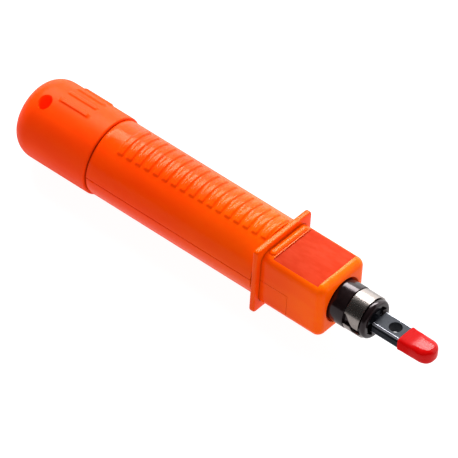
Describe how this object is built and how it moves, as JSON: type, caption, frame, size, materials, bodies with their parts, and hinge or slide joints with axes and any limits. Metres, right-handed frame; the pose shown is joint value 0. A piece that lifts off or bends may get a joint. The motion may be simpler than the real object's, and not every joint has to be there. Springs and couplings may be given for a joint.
{
  "type": "punch down tool",
  "caption": "Spring-loaded impact punch down tool: round two-shell handle with grip ribs, rear cap, square guard and nose, twist-lock blade in a banded holder, and a soft tip cover.",
  "frame": {"origin": "centre of the end cap's flat rear face, on the tool's axis", "axes": "+X along the tool to the blade's tip, +Z out of the label panel on the upper shell, the shells' seam in the XY plane"},
  "size_m": [0.178, 0.03, 0.031],
  "materials": {
    "shell_orange": "glossy moulded orange ABS",
    "cap_orange": "glossy moulded orange ABS, a little deeper",
    "blackened_steel": "oil-blackened turned steel, polished",
    "bright_steel": "bright drawn steel",
    "dark_steel": "dark phosphated tool steel",
    "bush_brass": "turned brass",
    "acetal_white": "natural acetal",
    "rubber_black": "moulded nitrile rubber",
    "vinyl_red": "glossy dip-moulded red vinyl"
  },
  "bodies": {
    "handle": {"upper_shell": "shell_orange", "lower_shell": "shell_orange", "guard_ring": "shell_orange", "compartment_plug": "acetal_white", "main_spring_seat": "acetal_white", "main_spring": "bright_steel", "guide_sleeve": "acetal_white", "cam_plate": "dark_steel", "return_spring_seat": "bright_steel", "return_spring": "bright_steel", "guide_bush": "bush_brass"},
    "cap_ring": {"cap_o_ring": "rubber_black"},
    "cap": {"end_cap": "cap_orange"},
    "spindle": {"blade_holder": "blackened_steel", "stop_ring": "bright_steel", "locking_band": "bright_steel", "detent_ball": "bright_steel"},
    "hammer": {"hammer": "dark_steel", "latch_spring": "bright_steel"},
    "latch": {"latch": "dark_steel"},
    "blade": {"blade": "dark_steel"},
    "tip_cover": {"tip_cover": "vinyl_red"}
  },
  "joints": [
    {"name": "cap_twist", "type": "hinge", "parent": "handle", "child": "cap_ring", "pos_m": [0.035, 0, 0], "axis": [1, 0, 0], "continuous": true},
    {"name": "cap_pull", "type": "slide", "parent": "cap_ring", "child": "cap", "axis": [-1, 0, 0], "range_m": [0, 0.045]},
    {"name": "push_in", "type": "slide", "parent": "handle", "child": "spindle", "axis": [-1, 0, 0], "range_m": [0, 0.009], "deforming": ["return_spring"]},
    {"name": "hammer_slide", "type": "slide", "parent": "handle", "child": "hammer", "axis": [-1, 0, 0], "range_m": [0, 0.009], "deforming": ["main_spring"]},
    {"name": "latch_lift", "type": "slide", "parent": "hammer", "child": "latch", "axis": [0, 0, 1], "range_m": [0, 0.0012], "deforming": ["latch_spring"]},
    {"name": "blade_turn", "type": "hinge", "parent": "spindle", "child": "blade", "pos_m": [0.1512, 0, 0], "axis": [1, 0, 0], "range_deg": [0, 45]},
    {"name": "cover_pull", "type": "slide", "parent": "blade", "child": "tip_cover", "axis": [1, 0, 0], "range_m": [0, 0.02]}
  ],
  "couplings": [
    {"joint": "hammer_slide", "follows": "push_in", "ratio": 1},
    {"joint": "latch_lift", "follows": "push_in", "ratio": 0.13333}
  ]
}
